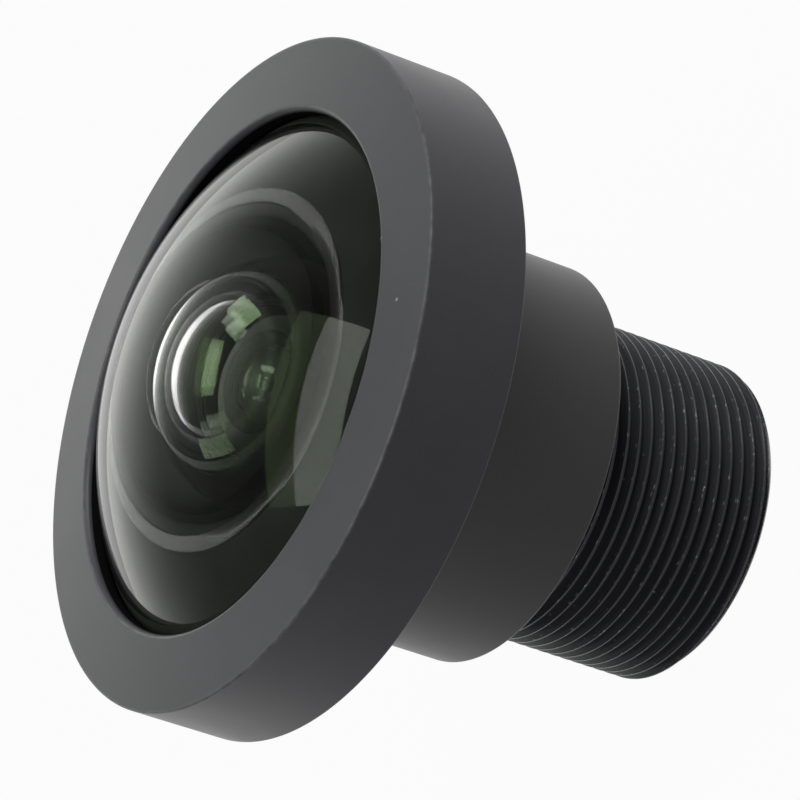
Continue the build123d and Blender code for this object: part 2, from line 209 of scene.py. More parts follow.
def softened(corners, size, closed=False):
    """Outline whose corners are small curves.

    Each corner B between A and C becomes the quadratic curve (1-s)^2 P + 2s(1-s) B + s^2 Q, where P and
    Q lie at the given size from B on the lines to A and C; a row just outside each end keeps the flats
    flat.
    """
    points = np.asarray(corners, float)
    before, after = np.roll(points, 1, 0), np.roll(points, -1, 0)
    back, ahead = before - points, after - points
    back_length = np.linalg.norm(back, axis=1, keepdims=True)
    ahead_length = np.linalg.norm(ahead, axis=1, keepdims=True)
    reach = np.minimum(np.minimum(back_length, ahead_length) * CORNER_SHARE, size)
    start, end = points + back / back_length * reach, points + ahead / ahead_length * reach
    steps = np.linspace(0.0, 1.0, CURVE_POINTS)[None, :, None]
    curve = (1 - steps) ** 2 * start[:, None] + 2 * steps * (1 - steps) * points[:, None]
    curve = curve + steps ** 2 * end[:, None]
    outer = points[:, None] + (back / back_length * reach)[:, None] * BESIDE
    inner = points[:, None] + (ahead / ahead_length * reach)[:, None] * BESIDE
    rows = np.concatenate([outer, curve, inner], 1)
    if closed:
        return rows.reshape(-1, 2)
    return np.concatenate([points[:1], rows[1:-1].reshape(-1, 2), points[-1:]])


def outline(*parts):
    """Rows of several parts of an outline in one array, and the finish number of each row."""
    rows = np.concatenate([np.asarray(part, float) for part, _ in parts])
    finish = np.concatenate([np.full(len(part), number) for part, number in parts])
    return rows, finish


def turned_surface(rows, closed):
    """Surface of revolution: row (r, z) goes to (r cos a, r sin a, z) for equal angles a."""
    angle = np.linspace(0.0, FULL_TURN, AROUND, endpoint=False)
    reach, height = rows[:, 0:1], rows[:, 1:2]
    points = np.stack([reach * np.cos(angle), reach * np.sin(angle), height + 0 * angle], -1)
    count = len(rows)
    here = np.arange(count if closed else count - 1)[:, None] * AROUND
    there = (np.arange(1, count + 1 if closed else count)[:, None] % count) * AROUND
    left, right = np.arange(AROUND)[None, :], (np.arange(AROUND)[None, :] + 1) % AROUND
    quads = np.stack([here + left, here + right, there + right, there + left], -1)
    return points.reshape(-1, 3), quads.reshape(-1, 4)


def thread_surface(sizes):
    """Mounting thread as one helical surface.

    A point has a distance s along the profile and an angle a; its height is s + pitch * a / 2 pi. Its
    radius falls from the crest in proportion to the distance from the crest's middle, and is cut by the
    45 degree rear chamfer and by the relief. Heights outside the thread are held at its two ends.
    """
    pitch, top = sizes.thread_pitch, sizes.thread_length
    depth = sizes.thread_radius - sizes.thread_root
    phases = np.array([-0.43, -0.38, -0.235, -0.085, -0.05, 0.0, 0.05, 0.085, 0.235, 0.38, 0.43, 0.5])
    turns = np.arange(-2, int(top / pitch) + 3)
    along = (turns[:, None] + phases[None, :]).reshape(-1)
    fall = np.clip((np.abs(np.tile(phases, len(turns))) - CREST_SHARE) / FLANK_SHARE, 0.0, 1.0)
    angle = np.linspace(0.0, FULL_TURN, AROUND + 1)
    height = (along[:, None] + angle[None, :] / FULL_TURN) * pitch
    radius = sizes.thread_radius - depth * fall[:, None] + 0 * angle[None, :]
    radius = np.minimum(radius, sizes.thread_start + np.clip(height, 0.0, None))
    radius = np.where(height >= top, sizes.relief, radius)
    height = np.clip(height, 0.0, top)
    points = np.stack([radius * np.cos(angle), radius * np.sin(angle), height], -1)
    rows, columns = height.shape
    corner = np.arange(rows - 1)[:, None] * columns + np.arange(columns - 1)[None, :]
    quads = np.stack([corner, corner + 1, corner + columns + 1, corner + columns], -1)
    return points.reshape(-1, 3), quads.reshape(-1, 4)


def piece(name, points, quads, numbers, finishes, body, nodes):
    """Puts a surface into a closed mesh with outward faces and lets it ride on a body of the frame."""
    mesh = bpy.data.meshes.new(name)
    mesh.vertices.add(len(points))
    mesh.vertices.foreach_set("co", points.astype(np.float32).ravel())
    mesh.loops.add(quads.size)
    mesh.loops.foreach_set("vertex_index", quads.astype(np.int32).ravel())
    mesh.polygons.add(len(quads))
    mesh.polygons.foreach_set("loop_start", np.arange(0, quads.size, 4, dtype=np.int32))
    for finish in finishes:
        mesh.materials.append(finish)
    mesh.polygons.foreach_set("material_index", np.asarray(numbers, np.int32))
    mesh.update(calc_edges=True)
    work = bmesh.new()
    work.from_mesh(mesh)
    bmesh.ops.remove_doubles(work, verts=work.verts, dist=WELD)
    bmesh.ops.dissolve_degenerate(work, edges=work.edges, dist=SHORTEST_EDGE)
    bmesh.ops.recalc_face_normals(work, faces=work.faces)
    work.to_mesh(mesh)
    work.free()
    mesh.polygons.foreach_set("use_smooth", np.ones(len(mesh.polygons), bool))
    mesh.set_sharp_from_angle(angle=SHARP)
    made = bpy.data.objects.new(name, mesh)
    bpy.context.scene.collection.objects.link(made)
    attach(made, body)
    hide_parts(*nodes)
    return made


def turned_piece(name, rows, numbers, finishes, body, nodes, closed=False):
    """Closed solid of revolution from an outline, with a finish for each of its rows."""
    points, quads = turned_surface(rows, closed)
    later = np.roll(numbers, -1) if closed else numbers[1:]
    return piece(name, points, quads, np.repeat(later, AROUND), finishes, body, nodes)


def glass_rows(node, sizes):
    """Outline of a glass: front face, inked rim and back face, placed by the box of its CAD node."""
    lowest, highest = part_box(node)
    front, front_reach, back, back_reach = sizes
    rim = highest.x
    front_rise, back_rise = rise(front, front_reach), rise(back, back_reach)
    front_apex = highest.z if front > 0 else highest.z - front_rise
    front_edge = front_apex - math.copysign(front_rise, front)
    back_edge = lowest.z if back > 0 else lowest.z + back_rise
    back_apex = back_edge + math.copysign(back_rise, back)
    flat = back_edge + CLEAR
    rim_rows = [(front_reach, front_edge), (rim, front_edge), (rim, flat), (back_reach, flat)]
    return outline(
        (cap(front_apex, front, 0.0, front_reach), 0),
        (rim_rows, 1),
        (cap(back_apex, back, back_reach, 0.0), 0),
    )


# Shader node helpers and shared effects


def put(tree, kind, settings=None, inputs=None):
    """Adds a node; an input that is a socket is linked, any other value is set on the node."""
    made = tree.nodes.new(kind)
    for key, value in (settings or {}).items():
        setattr(made, key, value)
    for key, value in (inputs or {}).items():
        if isinstance(value, bpy.types.NodeSocket):
            tree.links.new(value, made.inputs[key])
        else:
            made.inputs[key].default_value = value
    return made


def sums(tree, operation, *values, clamp=False):
    """One Math node and its result."""
    settings = {"operation": operation, "use_clamp": clamp}
    return put(tree, "ShaderNodeMath", settings, dict(enumerate(values))).outputs[0]


def noise(tree, place, scale, detail):
    """Noise from 0 to 1."""
    inputs = {"Vector": place, "Scale": scale, "Detail": detail}
    return put(tree, "ShaderNodeTexNoise", None, inputs).outputs["Fac"]


def blended(tree, share, low, high):
    """Mix of two colours."""
    mix = put(tree, "ShaderNodeMix", {"data_type": "RGBA"}, {0: share, 6: low, 7: high})
    return mix.outputs[2]


def new_group(name, inputs, outputs):
    """Empty node group with named sockets; inputs are (name, kind, default)."""
    group = bpy.data.node_groups.new(name, "ShaderNodeTree")
    for label, kind, default in inputs:
        socket = group.interface.new_socket(label, in_out="INPUT", socket_type=kind)
        if default is not None:
            socket.default_value = default
    for label, kind in outputs:
        group.interface.new_socket(label, in_out="OUTPUT", socket_type=kind)
    return group, group.nodes.new("NodeGroupInput").outputs, group.nodes.new("NodeGroupOutput").inputs


VALUE, VECTOR = "NodeSocketFloat", "NodeSocketVector"
OWN = "detailed_"


def round_place_group():
    """Object coordinates as distance from the axis, angle in turns and height."""
    group, given, result = new_group(
        "round place", [("Place", VECTOR, None)], [("Reach", VALUE), ("Turn", VALUE), ("Height", VALUE)]
    )
    split = put(group, "ShaderNodeSeparateXYZ", None, {0: given["Place"]}).outputs
    flat = put(group, "ShaderNodeCombineXYZ", None, {0: split[0], 1: split[1]}).outputs[0]
    reach = put(group, "ShaderNodeVectorMath", {"operation": "LENGTH"}, {0: flat}).outputs["Value"]
    turn = sums(group, "DIVIDE", sums(group, "ARCTAN2", split[1], split[0]), FULL_TURN)
    group.links.new(reach, result["Reach"])
    group.links.new(turn, result["Turn"])
    group.links.new(split[2], result["Height"])
    return group


def grain_group():
    """Fine grain of a blasted and anodised face: two sizes of noise, as a height and as a shade."""
    group, given, result = new_group(
        "blasted grain",
        [("Place", VECTOR, None), ("Grain Size", VALUE, 0.05 * MM), ("Cloud Size", VALUE, 3 * MM)],
        [("Height", VALUE), ("Cloud", VALUE)],
    )
    fine_scale = sums(group, "DIVIDE", 1.0, given["Grain Size"])
    cloud_scale = sums(group, "DIVIDE", 1.0, given["Cloud Size"])
    fine = noise(group, given["Place"], fine_scale, 2.0)
    cloud = noise(group, given["Place"], cloud_scale, 4.0)
    group.links.new(fine, result["Height"])
    group.links.new(cloud, result["Cloud"])
    return group


def turning_group():
    """Fine marks that run round the axis, as a lathe leaves them."""
    group, given, result = new_group(
        "turning marks", [("Place", VECTOR, None), ("Spacing", VALUE, 0.06 * MM)], [("Height", VALUE)]
    )
    place = effect(group, "round place", Place=given["Place"])
    profile = sums(group, "ADD", place["Reach"], place["Height"])
    across = sums(group, "DIVIDE", profile, given["Spacing"])
    along = sums(group, "MULTIPLY", place["Turn"], 3.0)
    vector = put(group, "ShaderNodeCombineXYZ", None, {0: across, 1: along})
    group.links.new(noise(group, vector.outputs[0], 1.0, 2.0), result["Height"])
    return group


def painted_edge_highlight_group():
    """Narrow band round a turned edge of a given radius and height, broken up by noise: the mask of a
    painted highlight along that edge.
    """
    group, given, result = new_group(
        "painted edge highlight",
        [
            ("Place", VECTOR, None),
            ("Edge Radius", VALUE, 12.4 * MM),
            ("Edge Height", VALUE, 19.3 * MM),
            ("Width", VALUE, 0.1 * MM),
        ],
        [("Mask", VALUE)],
    )
    place = effect(group, "round place", Place=given["Place"])
    across = sums(group, "SUBTRACT", place["Reach"], given["Edge Radius"])
    up = sums(group, "SUBTRACT", place["Height"], given["Edge Height"])
    squares = sums(group, "ADD", sums(group, "POWER", across, 2.0), sums(group, "POWER", up, 2.0))
    away = sums(group, "SQRT", squares)
    near = sums(group, "SUBTRACT", 1.0, sums(group, "DIVIDE", away, given["Width"]), clamp=True)
    patches = noise(group, given["Place"], 2200.0, 4.0)
    breaks = sums(group, "MULTIPLY_ADD", patches, 2.4, -0.6, clamp=True)
    group.links.new(sums(group, "MULTIPLY", near, breaks), result["Mask"])
    return group


def specks_group():
    """Sparse round specks: a cell of a given size holds one where its random number is low enough."""
    group, given, result = new_group(
        "specks",
        [
            ("Place", VECTOR, None),
            ("Cell Size", VALUE, 0.5 * MM),
            ("Amount", VALUE, 0.05),
            ("Speck", VALUE, 0.12),
        ],
        [("Mask", VALUE)],
    )
    scale = sums(group, "DIVIDE", 1.0, given["Cell Size"])
    cells = put(group, "ShaderNodeTexVoronoi", None, {"Vector": given["Place"], "Scale": scale})
    random = put(group, "ShaderNodeSeparateColor", None, {0: cells.outputs["Color"]}).outputs
    chosen = sums(group, "LESS_THAN", random[0], given["Amount"])
    size = sums(group, "MULTIPLY", given["Speck"], sums(group, "MULTIPLY_ADD", random[1], 0.8, 0.3))
    away = sums(group, "DIVIDE", cells.outputs["Distance"], size)
    inside = sums(group, "SUBTRACT", 1.0, away, clamp=True)
    group.links.new(sums(group, "MULTIPLY", chosen, sums(group, "SQRT", inside)), result["Mask"])
    return group


def scratches_group():
    """Short strokes that run round the axis: long thin cells in angle and height, few of them used."""
    group, given, result = new_group(
        "round scratches",
        [
            ("Place", VECTOR, None),
            ("Stroke", VALUE, 90.0),
            ("Width", VALUE, 0.05 * MM),
            ("Amount", VALUE, 0.1),
        ],
        [("Mask", VALUE)],
    )
    place = effect(group, "round place", Place=given["Place"])
    along = sums(group, "MULTIPLY", place["Turn"], given["Stroke"])
    up = sums(group, "DIVIDE", place["Height"], given["Width"])
    vector = put(group, "ShaderNodeCombineXYZ", None, {0: along, 1: up}).outputs[0]
    flat = {"voronoi_dimensions": "2D"}
    cells = put(group, "ShaderNodeTexVoronoi", flat, {"Vector": vector, "Scale": 1.0})
    random = put(group, "ShaderNodeSeparateColor", None, {0: cells.outputs["Color"]}).outputs
    chosen = sums(group, "LESS_THAN", random[0], given["Amount"])
    away = sums(group, "DIVIDE", cells.outputs["Distance"], 0.45)
    inside = sums(group, "SUBTRACT", 1.0, away, clamp=True)
    group.links.new(sums(group, "MULTIPLY", chosen, inside), result["Mask"])
    return group


GROUPS = {}


def make_groups():
    """Builds each shared effect once."""
    for name, builder in (
        ("round place", round_place_group),
        ("blasted grain", grain_group),
        ("turning marks", turning_group),
        ("painted edge highlight", painted_edge_highlight_group),
        ("specks", specks_group),
        ("round scratches", scratches_group),
    ):
        GROUPS[name] = builder()


def effect(tree, name, **values):
    """Places a shared effect; underscores in the value names stand for spaces."""
    inputs = {key.replace("_", " "): value for key, value in values.items()}
    return put(tree, "ShaderNodeGroup", {"node_tree": GROUPS[name]}, inputs).outputs


# Finishes


def new_finish(name):
    """Material with an empty tree, its main shader and the Object coordinates."""
    made = bpy.data.materials.new(OWN + name)
    made.use_nodes = True
    tree = made.node_tree
    tree.nodes.clear()
    shader = put(tree, "ShaderNodeBsdfPrincipled")
    put(tree, "ShaderNodeOutputMaterial", None, {"Surface": shader.outputs[0]})
    place = put(tree, "ShaderNodeTexCoord").outputs["Object"]
    return made, tree, shader, place


def wire(tree, shader, **inputs):
    """Links or sets inputs of the main shader; underscores in the names stand for spaces."""
    for key, value in inputs.items():
        socket = shader.inputs[key.replace("_", " ")]
        if isinstance(value, bpy.types.NodeSocket):
            tree.links.new(value, socket)
        else:
            socket.default_value = value


def bumped(tree, height, strength, distance):
    """Normal from a height."""
    return put(
        tree, "ShaderNodeBump", None, {"Height": height, "Strength": strength, "Distance": distance}
    ).outputs["Normal"]


def opaque(values):
    """Colour with an alpha of one."""
    return (*values, 1.0)


def anodised(name, base, looks, rough, edges, facing):
    """Matte black anodised metal: blasted grain, clouds, dust, and a painted highlight along given turned
    edges in the bare-metal colour.

    The last value dims what the metal mirrors straight on, and leaves the glancing reflections bright.
    """
    made, tree, shader, place = new_finish(name)
    grains = effect(tree, "blasted grain", Place=place, Grain_Size=0.05 * MM, Cloud_Size=2.6 * MM)
    marks = effect(tree, "turning marks", Place=place, Spacing=0.07 * MM)
    specks = effect(tree, "specks", Place=place, Cell_Size=0.62 * MM, Amount=0.012, Speck=0.11)
    shade = sums(tree, "MULTIPLY_ADD", grains["Cloud"], 0.35, 0.83)
    fine = sums(tree, "MULTIPLY_ADD", grains["Height"], 0.3, 0.85)
    tone = put(tree, "ShaderNodeVectorMath", {"operation": "SCALE"}, {0: tuple(base)})
    tree.links.new(sums(tree, "MULTIPLY", shade, fine), tone.inputs["Scale"])
    skin = tone.outputs[0]
    wear_and_painted_highlight = 0.0
    for radius, height, width in edges:
        band = effect(
            tree, "painted edge highlight", Place=place, Edge_Radius=radius, Edge_Height=height, Width=width
        )
        wear_and_painted_highlight = sums(tree, "MAXIMUM", wear_and_painted_highlight, band["Mask"])
    # Painted highlight: the anodised colour is lightened towards the bare-metal colour along the listed
    # edges.
    skin = blended(tree, sums(tree, "MULTIPLY", wear_and_painted_highlight, 0.16), skin, opaque(looks.bare_and_highlight))
    skin = blended(tree, sums(tree, "MULTIPLY", specks["Mask"], 0.7), skin, opaque(looks.dust))
    level = sums(tree, "ADD", grains["Height"], sums(tree, "MULTIPLY", marks["Height"], 0.5))
    wire(
        tree,
        shader,
        Base_Color=skin,
        Roughness=sums(tree, "MULTIPLY_ADD", grains["Cloud"], 0.12, rough),
        Normal=bumped(tree, level, 0.35, 0.012 * MM),
        Specular_Tint=opaque((facing, facing, facing)),
    )
    return made


def thread_finish(looks, crest):
    """Thread: glossier black with turning marks, bright specks and strokes along its crests."""
    made, tree, shader, place = new_finish("thread_black")
    round_place = effect(tree, "round place", Place=place)
    marks = effect(tree, "turning marks", Place=place, Spacing=0.03 * MM)
    grains = effect(tree, "blasted grain", Place=place, Grain_Size=0.04 * MM, Cloud_Size=1.3 * MM)
    strokes = effect(tree, "round scratches", Place=place, Stroke=150.0, Width=0.045 * MM, Amount=0.12)
    specks = effect(tree, "specks", Place=place, Cell_Size=0.22 * MM, Amount=0.09, Speck=0.24)
    over = sums(tree, "SUBTRACT", round_place["Reach"], crest - 0.1 * MM)
    top = sums(tree, "DIVIDE", over, 0.08 * MM, clamp=True)
    patchy = sums(tree, "MULTIPLY_ADD", grains["Cloud"], 5.0, -2.3, clamp=True)
    wear_and_painted_highlight = sums(tree, "MAXIMUM", sums(tree, "MULTIPLY", strokes["Mask"], top), specks["Mask"])
    wear_and_painted_highlight = sums(tree, "MULTIPLY", wear_and_painted_highlight, sums(tree, "MULTIPLY_ADD", patchy, 0.7, 0.25))
    behind = sums(tree, "DIVIDE", round_place["Height"], 0.5 * MM)
    last = sums(tree, "SUBTRACT", 1.0, behind, clamp=True)
    flecks = sums(tree, "MULTIPLY_ADD", grains["Height"], 6.0, -3.3, clamp=True)
    rear = sums(tree, "MULTIPLY", sums(tree, "MULTIPLY", last, flecks), 0.6)
    wear_and_painted_highlight = sums(tree, "MAXIMUM", wear_and_painted_highlight, rear)
    skin = blended(tree, wear_and_painted_highlight, opaque(looks.thread), opaque(looks.bare_and_highlight))
    wire(
        tree,
        shader,
        Base_Color=skin,
        Roughness=sums(tree, "MULTIPLY_ADD", marks["Height"], 0.2, 0.16),
        Specular_Tint=opaque((0.6, 0.6, 0.65)),
        Normal=bumped(tree, marks["Height"], 0.3, 0.008 * MM),
        Metallic=sums(tree, "MULTIPLY", wear_and_painted_highlight, 0.7),
    )
    return made


def dull_black(name, base, looks, specular, rough=0.7, spacing=0.08):
    """Dull black of inner rings and bores: turning marks and a little dust."""
    made, tree, shader, place = new_finish(name)
    marks = effect(tree, "turning marks", Place=place, Spacing=spacing * MM)
    specks = effect(tree, "specks", Place=place, Cell_Size=0.4 * MM, Amount=0.01, Speck=0.12)
    tone = put(tree, "ShaderNodeVectorMath", {"operation": "SCALE"}, {0: tuple(base)})
    tree.links.new(sums(tree, "MULTIPLY_ADD", marks["Height"], 0.8, 0.6), tone.inputs["Scale"])
    share = sums(tree, "MULTIPLY", specks["Mask"], 0.25)
    skin = blended(tree, share, tone.outputs[0], opaque(looks.dust))
    wire(
        tree,
        shader,
        Base_Color=skin,
        Roughness=sums(tree, "MULTIPLY_ADD", marks["Height"], 0.15, rough),
        Normal=bumped(tree, marks["Height"], 0.3, 0.015 * MM),
        Specular_IOR_Level=specular,
    )
    return made


def coated_glass(name, index, coating, dust=0.0, tint=(1.0, 1.0, 1.0)):
    """Clear glass whose coating leaves a faint coloured reflection; wiping marks and dust roughen it.

    The coating's colour dims what the glass mirrors straight on, and leaves glancing reflections bright.
    """
    made, tree, shader, place = new_finish(name)
    grains = effect(tree, "blasted grain", Place=place, Grain_Size=0.5 * MM, Cloud_Size=4.0 * MM)
    specks = effect(tree, "specks", Place=place, Cell_Size=0.8 * MM, Amount=dust, Speck=0.07)
    wiped = sums(tree, "MULTIPLY_ADD", grains["Cloud"], 4.0, -2.2, clamp=True)
    film = sums(tree, "MULTIPLY", wiped, 0.012)
    wire(
        tree,
        shader,
        Base_Color=opaque(tint),
        Roughness=sums(tree, "MAXIMUM", film, sums(tree, "MULTIPLY", specks["Mask"], 0.7)),
        IOR=index,
        Transmission_Weight=1.0,
        Specular_Tint=opaque(coating),
    )
    return made


def ground_glass(looks):
    """Ground band: glass left rough by the wheel, with small chips."""
    made, tree, shader, place = new_finish("ground_band")
    grains = effect(tree, "blasted grain", Place=place, Grain_Size=0.06 * MM, Cloud_Size=0.8 * MM)
    wire(
        tree,
        shader,
        Base_Color=opaque(looks.band),
        Roughness=sums(tree, "MULTIPLY_ADD", grains["Cloud"], 0.08, 0.02),
        IOR=1.62,
        Transmission_Weight=1.0,
        Alpha=sums(tree, "MULTIPLY_ADD", grains["Cloud"], 0.06, 0.10),
        Normal=bumped(tree, grains["Height"], 0.04, 0.01 * MM),
    )
    return made


def ink_finish(looks):
    """Ink on the rims and flats of the glass, brushed on and slightly uneven."""
    made, tree, shader, place = new_finish("rim_ink")
    grains = effect(tree, "blasted grain", Place=place, Grain_Size=0.3 * MM, Cloud_Size=2.0 * MM)
    thin = opaque([value * 2.0 for value in looks.ink])
    skin = blended(tree, grains["Cloud"], opaque(looks.ink), thin)
    wire(
        tree,
        shader,
        Base_Color=skin,
        Roughness=sums(tree, "MULTIPLY_ADD", grains["Height"], 0.2, 0.5),
        Specular_IOR_Level=0.1,
    )
    return made


def soft_black(name, base, rough, grain):
    """Seal rubber, slip washers and films: plain fine grain."""
    made, tree, shader, place = new_finish(name)
    grains = effect(tree, "blasted grain", Place=place, Grain_Size=grain * MM, Cloud_Size=1.5 * MM)
    skin = blended(tree, grains["Cloud"], opaque(base), opaque([value * 1.8 for value in base]))
    wire(
        tree,
        shader,
        Base_Color=skin,
        Roughness=sums(tree, "MULTIPLY_ADD", grains["Height"], 0.2, rough),
        Normal=bumped(tree, grains["Height"], 0.4, 0.01 * MM),
    )
    return made


def settings():
    """The lens's properties in this scene."""
    return bpy.context.scene.fisheye_lens


def finish(name):
    """A finish made before."""
    return bpy.data.materials[OWN + name]


# Operators


class LENS_OT_finishes(bpy.types.Operator):
    """Makes the shared effects and the finishes"""

    bl_idname = "lens.finishes"
    bl_label = "Finishes"

    def execute(self, context):
        looks, ring, barrel = settings().looks, settings().ring, settings().barrel
        make_groups()
        ring_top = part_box("front_ring")[1]
        face = ring_top.z - ring.crown
        anodised(
            "anodised_ring",
            looks.ring,
            looks,
            0.33,
            # Edges with a painted highlight: the ring's outer edge and its brim.
            [(ring_top.x, face, 0.13 * MM), (ring.brim, ring_top.z, 0.07 * MM)],
            0.4,
        )
        anodised(
            "anodised_barrel",
            looks.barrel,
            looks,
            0.33,
            # Edge with a painted highlight: the rear edge of the shoulder.
            [(barrel.shoulder, barrel.shoulder_foot, 0.12 * MM)],
            0.6,
        )
        thread_finish(looks, barrel.thread_radius)
        dull_black("bore_black", looks.bore, looks, 0.03)
        dull_black("spacer_black", looks.bore, looks, 0.05, rough=0.6, spacing=0.05)
        dull_black("retainer_black", looks.bore, looks, 0.03, rough=0.6)
        ink_finish(looks)
        ground_glass(looks)
        coated_glass("front_glass", 1.62, (0.17, 0.19, 0.16), dust=0.06)
        coated_glass("bowl_glass", 1.62, (0.17, 0.27, 0.12))
        coated_glass("second_glass", 1.70, (0.09, 0.135, 0.07), dust=0.04)
        coated_glass("third_glass", 1.62, (0.22, 0.36, 0.17))
        coated_glass("fourth_glass", 1.85, (0.12, 0.18, 0.10))
        coated_glass("doublet_glass", 1.62, (0.55, 0.65, 0.80))
        coated_glass("last_glass", 1.70, (0.15, 0.20, 0.10))
        coated_glass("filter_glass", 1.52, (0.9, 0.4, 0.5), tint=(0.86, 0.98, 0.97))
        soft_black("film_black", (0.006, 0.006, 0.006), 0.7, 0.1)
        soft_black("stop_black", (0.030, 0.032, 0.022), 0.5, 0.1)
        soft_black("slip_black", (0.02, 0.02, 0.021), 0.45, 0.15)
        soft_black("seal_black", (0.012, 0.012, 0.012), 0.6, 0.08)
        return {"FINISHED"}


class LENS_OT_front_ring(bpy.types.Operator):
    """Makes the front ring with its crowned face, bevelled mouth and lip"""

    bl_idname = "lens.front_ring"
    bl_label = "Front ring"

    def execute(self, context):
        sizes = settings().ring
        lowest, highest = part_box("front_ring")
        outer, foot, top = highest.x, lowest.z, highest.z
        face = top - sizes.crown
        corners = [
            (sizes.bore, foot),
            (outer, foot),
            (outer, face),
            (sizes.brim, top),
            (sizes.mouth, top - sizes.bevel),
            (sizes.mouth, sizes.lip_top),
            (sizes.pocket, sizes.lip_foot),
            (sizes.pocket, sizes.step),
            (sizes.bore, sizes.step),
        ]
        rows = softened(corners, sizes.edge, closed=True)
        numbers = np.repeat([1, 0, 0, 0, 0, 1, 1, 1, 1], CORNER_ROWS)
        turned_piece(
            "front_ring_metal", rows, numbers, [finish("anodised_ring"), finish("bore_black")],
            "front_ring_body", ["front_ring"], closed=True,
        )
        return {"FINISHED"}


class LENS_OT_barrel(bpy.types.Operator):
    """Makes the barrel with its bores, relief and true helical thread"""

    bl_idname = "lens.barrel"
    bl_label = "Barrel"

    def execute(self, context):
        sizes, bores = settings().barrel, settings().bores
        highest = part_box("barrel")[1]
        head, nose_top = highest.x, highest.z
        outside = softened(
            [
                (sizes.relief, sizes.thread_length),
                (sizes.relief, sizes.shoulder_foot),
                (sizes.shoulder, sizes.shoulder_foot),
                (sizes.shoulder, sizes.head_foot),
                (head, sizes.head_foot),
                (head, sizes.head_top),
                (sizes.groove_outer, sizes.head_top),
            ],
            sizes.break_size,
        )
        inside = softened(
            [
                (sizes.groove_outer, sizes.head_top),
                (sizes.groove_outer, sizes.groove_foot),
                (sizes.groove_inner, sizes.groove_foot),
                (sizes.groove_inner, sizes.head_top),
                (sizes.nose, sizes.head_top),
                (sizes.nose, nose_top),
                (bores.front, nose_top),
                (bores.front, bores.front_foot),
                (bores.middle, bores.front_foot),
                (bores.middle, bores.middle_foot),
                (bores.inner, bores.middle_foot),
                (bores.inner, bores.rib_top),
                (bores.rib_hole, bores.rib_top),
                (bores.rib_hole, bores.rib_foot),
                (bores.inner, bores.rib_foot),
                (bores.inner, bores.ledge),
                (bores.rear, bores.ledge),
                (bores.rear, bores.retainer_end),
                (bores.retainer, bores.retainer_end),
                (bores.retainer, 0.0),
            ],
            FINE_BREAK,
        )
        rows, numbers = outline(
            (outside, 0),
            (inside, 2),
            ([(bores.retainer, 0.0), (sizes.thread_start, 0.0)], 1),
        )
        body_points, body_quads = turned_surface(rows, False)
        thread_points, thread_quads = thread_surface(sizes)
        points = np.concatenate([body_points, thread_points])
        quads = np.concatenate([body_quads, thread_quads + len(body_points)])
        kinds = np.concatenate([np.repeat(numbers[1:], AROUND), np.full(len(thread_quads), 1)])
        piece(
            "barrel_metal", points, quads, kinds,
            [finish("anodised_barrel"), finish("thread_black"), finish("bore_black")],
            "barrel_assembly", ["barrel"],
        )
        return {"FINISHED"}


class LENS_OT_front_glass(bpy.types.Operator):
    """Makes the front glass with its dome, bowl, ground band and inked rim"""

    bl_idname = "lens.front_glass"
    bl_label = "Front glass"

    def execute(self, context):
        sizes = settings().glass
        lowest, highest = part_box("element_1")
        dome, dome_reach, bowl, bowl_reach = sizes.front
        edge = highest.z - rise(dome, dome_reach)
        centre = highest.z - sizes.front_centre
        bowl_edge = centre - rise(bowl, bowl_reach)
        flat = lowest.z + CLEAR
        bevel_foot = (highest.x, edge - sizes.front_bevel)
        band = (sizes.front_band, flat)
        rows, numbers = outline(
            (cap(highest.z, dome, 0.0, dome_reach, 120), 0),
            ([(dome_reach, edge), bevel_foot, (highest.x, flat), band], 1),
            ([band, (bowl_reach, bowl_edge)], 2),
            (cap(centre, bowl, bowl_reach, 0.0, 96), 3),
        )
        turned_piece(
            "front_glass_body", rows, numbers,
            [finish("front_glass"), finish("rim_ink"), finish("ground_band"), finish("bowl_glass")],
            "barrel_assembly", ["element_1"],
        )
        return {"FINISHED"}


class LENS_OT_inner_glass(bpy.types.Operator):
    """Makes the six glasses behind the front one"""

    bl_idname = "lens.inner_glass"
    bl_label = "Inner glasses"

    def execute(self, context):
        sizes = settings().glass
        for node, faces_of, coat in (
            ("element_2", sizes.second, "second_glass"),
            ("element_3", sizes.third, "third_glass"),
            ("element_4", sizes.fourth, "fourth_glass"),
            ("element_5_crown", sizes.crown, "doublet_glass"),
            ("element_6_flint", sizes.flint, "doublet_glass"),
            ("element_7", sizes.last, "last_glass"),
        ):
            rows, numbers = glass_rows(node, tuple(faces_of))
            turned_piece(
                node + "_glass", rows, numbers, [finish(coat), finish("rim_ink")],
                "barrel_assembly", [node],
            )
        return {"FINISHED"}


class LENS_OT_filter(bpy.types.Operator):
    """Makes the thin filter disc in the rear retainer"""

    bl_idname = "lens.filter"
    bl_label = "Filter"

    def execute(self, context):
        lowest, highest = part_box("ir_cut_filter")
        rim, low, high = highest.x, lowest.z, highest.z
        reach = np.linspace(0.0, rim - 0.03 * MM, 12)
        rows, numbers = outline(
            (np.stack([reach, np.full(12, high)], 1), 0),
            (softened([(reach[-1], high), (rim, high), (rim, low), (reach[-1], low)], FINE_BREAK), 0),
            (np.stack([reach[::-1], np.full(12, low)], 1), 0),
        )
        turned_piece(
            "filter_disc", rows, numbers, [finish("filter_glass")],
            "rear_retainer_body", ["ir_cut_filter"],
        )
        return {"FINISHED"}


